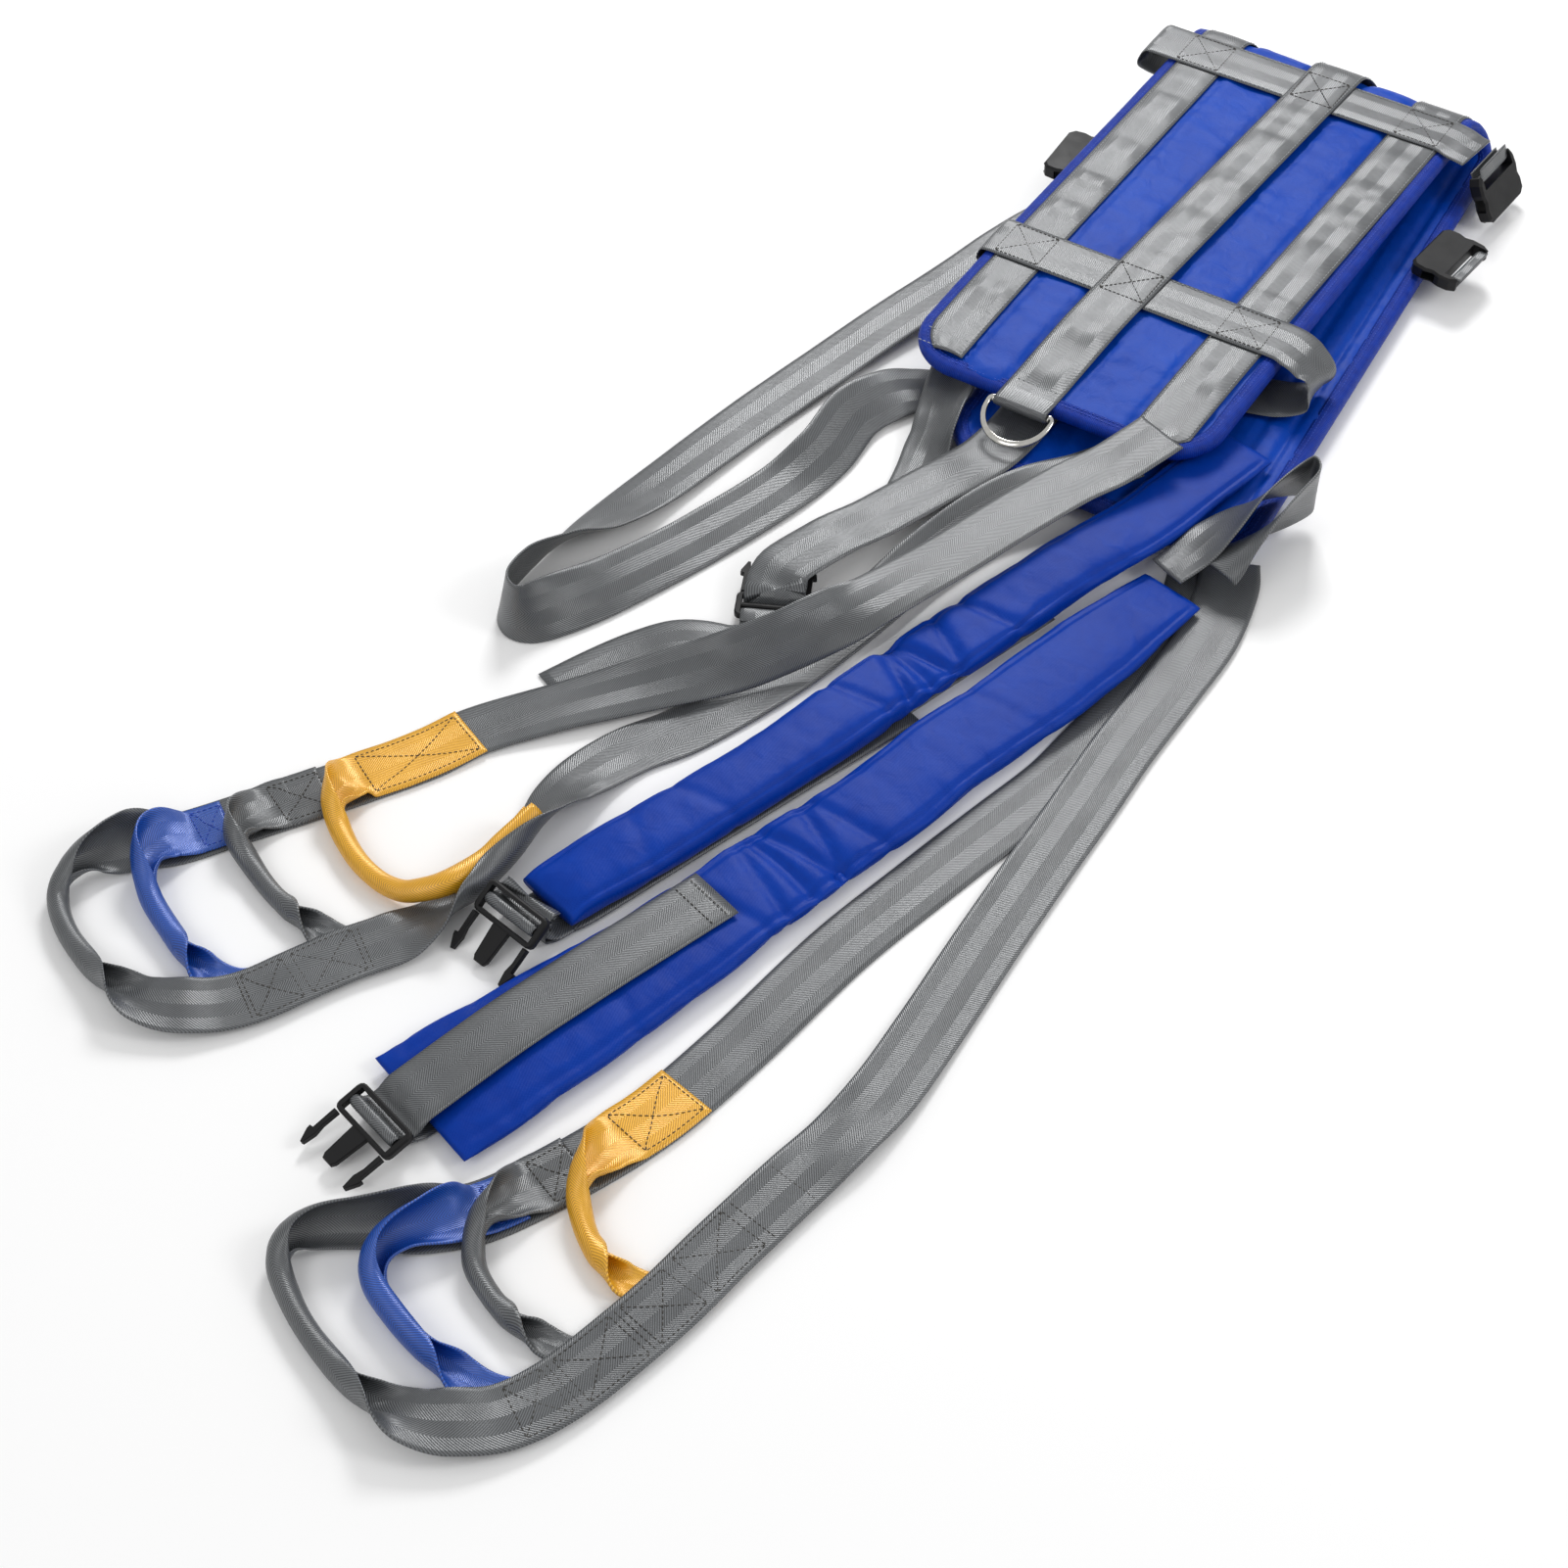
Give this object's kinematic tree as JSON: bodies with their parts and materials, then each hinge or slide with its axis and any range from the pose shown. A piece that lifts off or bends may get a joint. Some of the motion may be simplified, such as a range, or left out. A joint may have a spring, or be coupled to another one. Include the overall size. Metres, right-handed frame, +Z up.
{
  "type": "walking sling belt",
  "caption": "Padded trunk belt folded in half, with grey webbing, two padded leg straps, side-release buckles, a D-ring and colour-coded ladder suspension straps.",
  "frame": {"origin": "middle of the object's bounding box in X and Y, on the surface that it lies on", "axes": "+Z up from that surface, +Y along the longest extent, towards the belt's folded end, +X towards the belt's side with two receptacles"},
  "size_m": [0.6488, 1.6502, 0.0709],
  "materials": {
    "nylon_blue": "woven nylon with a low sheen",
    "nylon_navy": "woven nylon with a low sheen",
    "binding_blue": "ribbed binding tape",
    "webbing_grey": "herringbone polyester with a silky sheen",
    "webbing_yellow": "herringbone polyester with a silky sheen",
    "webbing_blue": "herringbone polyester with a silky sheen",
    "acetal_black": "moulded, fine grain",
    "nickel": "bright nickel plate"
  },
  "bodies": {
    "sling": {"edge_binding": "binding_blue", "leg_pad_lower": "nylon_navy", "leg_pad_upper": "nylon_navy", "rung_left_blue": "webbing_blue", "rung_left_grey": "webbing_grey", "rung_left_yellow": "webbing_yellow", "rung_right_blue": "webbing_blue", "rung_right_grey": "webbing_grey", "rung_right_yellow": "webbing_yellow", "strap_chest": "webbing_grey", "strap_hanging_left": "webbing_grey", "strap_hanging_right": "webbing_grey", "strap_leg_lower": "webbing_grey", "strap_leg_upper": "webbing_grey", "strap_loop_left": "webbing_grey", "strap_loop_right": "webbing_grey", "strap_short_left": "webbing_grey", "tab_left": "webbing_grey", "tab_right_lower": "webbing_grey", "tab_right_upper": "webbing_grey", "trunk_panel": "nylon_blue", "webbing_cross_lower": "webbing_grey", "webbing_cross_upper": "webbing_grey", "webbing_long_left": "webbing_grey", "webbing_long_middle": "webbing_grey", "webbing_long_right": "webbing_grey"},
    "ring": {"d_ring": "nickel"},
    "plug_leg_upper": {"plug_leg_upper_frame": "acetal_black"},
    "plug_leg_upper_arm_left": {"plug_leg_upper_arm_left": "acetal_black"},
    "plug_leg_upper_arm_right": {"plug_leg_upper_arm_right": "acetal_black"},
    "plug_leg_lower": {"plug_leg_lower_frame": "acetal_black"},
    "plug_leg_lower_arm_left": {"plug_leg_lower_arm_left": "acetal_black"},
    "plug_leg_lower_arm_right": {"plug_leg_lower_arm_right": "acetal_black"},
    "plug_chest": {"plug_chest_frame": "acetal_black"},
    "plug_chest_arm_left": {"plug_chest_arm_left": "acetal_black"},
    "plug_chest_arm_right": {"plug_chest_arm_right": "acetal_black"},
    "receptacle_right_upper": {"receptacle_right_upper": "acetal_black"},
    "receptacle_right_lower": {"receptacle_right_lower": "acetal_black"},
    "receptacle_left": {"receptacle_left": "acetal_black"}
  },
  "joints": [
    {"name": "d_ring_swing", "type": "hinge", "parent": "sling", "child": "ring", "pos_m": [0.04694, 0.23457, 0.0456], "axis": [-1, 0, 0], "range_deg": [-10, 170]},
    {"name": "plug_leg_upper_tilt", "type": "hinge", "parent": "sling", "child": "plug_leg_upper", "pos_m": [-0.00516, -0.43653, 0.0296], "axis": [-0.9798, 0.2, 0], "range_deg": [0, 12]},
    {"name": "plug_leg_upper_arm_left_flex", "type": "hinge", "parent": "plug_leg_upper", "child": "plug_leg_upper_arm_left", "pos_m": [0.01851, -0.45306, 0.02157], "axis": [-0.1147, -0.562, 0.8192], "range_deg": [-8, 0], "stiffness_Nm_per_rad": 0.6},
    {"name": "plug_leg_upper_arm_right_flex", "type": "hinge", "parent": "plug_leg_upper", "child": "plug_leg_upper_arm_right", "pos_m": [-0.03342, -0.44247, 0.02157], "axis": [-0.1147, -0.562, 0.8192], "range_deg": [0, 8], "stiffness_Nm_per_rad": 0.6},
    {"name": "plug_leg_lower_tilt", "type": "hinge", "parent": "sling", "child": "plug_leg_lower", "pos_m": [0.01644, -0.63193, 0.0185], "axis": [-0.9539, 0.3, 0], "range_deg": [-5, 12]},
    {"name": "plug_leg_lower_arm_left_flex", "type": "hinge", "parent": "plug_leg_lower", "child": "plug_leg_lower_arm_left", "pos_m": [0.03764, -0.65284, 0.01511], "axis": [-0.0726, -0.2308, 0.9703], "range_deg": [-8, 0], "stiffness_Nm_per_rad": 0.6},
    {"name": "plug_leg_lower_arm_right_flex", "type": "hinge", "parent": "plug_leg_lower", "child": "plug_leg_lower_arm_right", "pos_m": [-0.01291, -0.63694, 0.01511], "axis": [-0.0726, -0.2308, 0.9703], "range_deg": [0, 8], "stiffness_Nm_per_rad": 0.6},
    {"name": "plug_chest_tilt", "type": "hinge", "parent": "sling", "child": "plug_chest", "pos_m": [-0.02256, -0.04993, 0.0105], "axis": [0.9074, 0.4202, 0], "range_deg": [-7, 7]},
    {"name": "plug_chest_arm_left_flex", "type": "hinge", "parent": "plug_chest", "child": "plug_chest_arm_left", "pos_m": [-0.05248, -0.04838, 0.01123], "axis": [0.022, -0.0475, 0.9986], "range_deg": [-8, 0], "stiffness_Nm_per_rad": 0.6},
    {"name": "plug_chest_arm_right_flex", "type": "hinge", "parent": "plug_chest", "child": "plug_chest_arm_right", "pos_m": [-0.00439, -0.02611, 0.01123], "axis": [0.022, -0.0475, 0.9986], "range_deg": [0, 8], "stiffness_Nm_per_rad": 0.6},
    {"name": "receptacle_right_upper_tilt", "type": "hinge", "parent": "sling", "child": "receptacle_right_upper", "pos_m": [0.25044, 0.75407, 0.047], "axis": [-0.0712, -0.9975, 0], "range_deg": [-20, 45]},
    {"name": "receptacle_right_lower_tilt", "type": "hinge", "parent": "sling", "child": "receptacle_right_lower", "pos_m": [0.28444, 0.63207, 0.0262], "axis": [0.0995, 0.995, 0], "range_deg": [-2, 45]},
    {"name": "receptacle_left_tilt", "type": "hinge", "parent": "sling", "child": "receptacle_left", "pos_m": [-0.06756, 0.58707, 0.03], "axis": [-0.0499, 0.9988, 0], "range_deg": [-35, 20]}
  ],
  "couplings": [
    {"joint": "plug_leg_upper_arm_right_flex", "follows": "plug_leg_upper_arm_left_flex", "ratio": -1},
    {"joint": "plug_leg_lower_arm_right_flex", "follows": "plug_leg_lower_arm_left_flex", "ratio": -1},
    {"joint": "plug_chest_arm_right_flex", "follows": "plug_chest_arm_left_flex", "ratio": -1}
  ]
}
